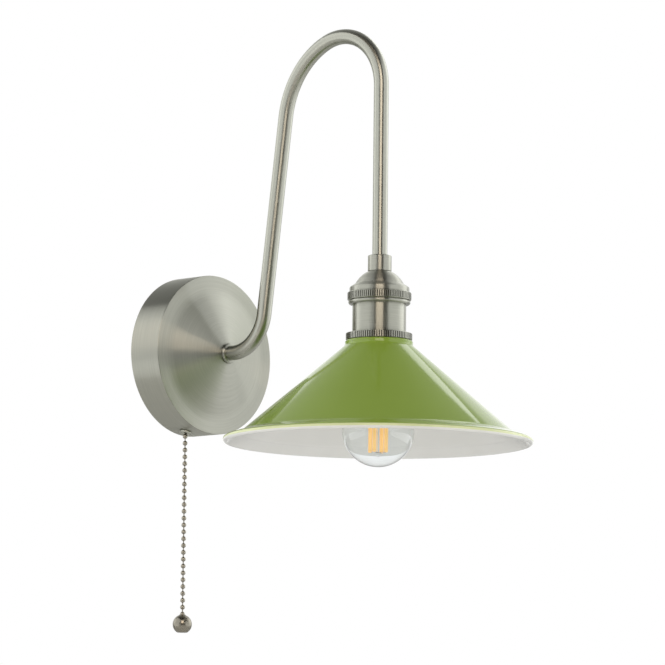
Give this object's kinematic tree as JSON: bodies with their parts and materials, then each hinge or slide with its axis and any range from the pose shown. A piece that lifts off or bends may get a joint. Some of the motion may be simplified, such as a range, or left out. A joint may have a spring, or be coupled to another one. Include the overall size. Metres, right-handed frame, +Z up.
{
  "type": "gooseneck wall sconce",
  "caption": "Wall sconce with a round rose, swan-neck tube arm, screw lamp holder, coned enamel shade, clear bulb and a bead-chain pull switch.",
  "frame": {"origin": "centre of the wall rose on the wall plane, midway between the two wall screw slots", "axes": "+Z up, +Y into the wall (the light stands out towards -Y), +X to the right when facing the wall"},
  "size_m": [0.1926, 0.2648, 0.379],
  "materials": {
    "brushed_nickel": "satin brushed nickel",
    "zinc_steel": "zinc plated",
    "brass": "plain",
    "green_enamel": "gloss enamel, green outside and white inside",
    "clear_glass": "clear",
    "lamp_cap": "bright",
    "filament_coating": "phosphor",
    "insulator_plastic": "moulded",
    "block_plastic": "moulded",
    "chain_metal": "satin",
    "flex_sheath": "matt",
    "lead_sleeve": "matt"
  },
  "bodies": {
    "wall_light": {"arm_ferrule": "brushed_nickel", "arm_flex": "flex_sheath", "arm_lock_nut": "zinc_steel", "arm_lock_washer": "zinc_steel", "cap_ring": "brushed_nickel", "centre_contact": "brass", "contact_blades": "brass", "earth_screw": "brass", "holder_body": "brushed_nickel", "holder_cap": "brushed_nickel", "holder_collar": "brushed_nickel", "holder_insert": "insulator_plastic", "holder_terminals": "brass", "nozzle_nut": "zinc_steel", "rose_hook": "zinc_steel", "rose_screw": "zinc_steel", "rotor_pin": "zinc_steel", "screw_shell": "brass", "shade": "green_enamel", "shade_ring_lower": "brushed_nickel", "shade_ring_upper": "brushed_nickel", "swan_neck_arm": "brushed_nickel", "switch_cover": "insulator_plastic", "switch_housing": "insulator_plastic", "switch_nozzle": "brushed_nickel", "switch_spring": "zinc_steel", "terminal_block": "block_plastic", "terminal_screws": "brass", "wall_bracket": "zinc_steel", "wall_rose": "brushed_nickel", "wiring_leads": "lead_sleeve"},
    "chain_head": {"switch_slider": "zinc_steel", "lead_chain": "chain_metal"},
    "swing_bead": {"swing_link": "chain_metal"},
    "pull_chain": {"chain_beads": "chain_metal", "chain_bars": "chain_metal", "pull_knob": "chain_metal"},
    "rotor": {"switch_rotor": "insulator_plastic"},
    "bulb": {"bulb_glass": "clear_glass", "bulb_cap": "lamp_cap", "bulb_insulator": "insulator_plastic", "bulb_button": "lamp_cap", "bulb_stem": "clear_glass", "bulb_filaments": "filament_coating", "filament_supports": "zinc_steel"}
  },
  "joints": [
    {"name": "chain_pull", "type": "slide", "parent": "wall_light", "child": "chain_head", "axis": [-0.2419, 0, -0.9703], "range_m": [0, 0.006], "stiffness_N_per_m": 400, "springref_m": -0.002, "deforming": ["switch_spring"]},
    {"name": "rotor_step", "type": "hinge", "parent": "wall_light", "child": "rotor", "pos_m": [-0.00067, -0.0118, -0.03452], "axis": [0, 1, 0], "range_deg": [0, 45.1]},
    {"name": "chain_swing_out", "type": "hinge", "parent": "chain_head", "child": "swing_bead", "pos_m": [-0.01328, -0.0118, -0.05327], "axis": [1, 0, 0], "range_deg": [-60, 2.4]},
    {"name": "chain_swing_side", "type": "hinge", "parent": "swing_bead", "child": "pull_chain", "pos_m": [-0.01328, -0.0118, -0.05767], "axis": [0, 1, 0], "range_deg": [-60, 60]},
    {"name": "bulb_out", "type": "slide", "parent": "wall_light", "child": "bulb", "axis": [0, 0, -1], "range_m": [0, 0.024]}
  ],
  "couplings": [
    {"joint": "rotor_step", "follows": "chain_pull", "rad_per_m": 130.9}
  ]
}
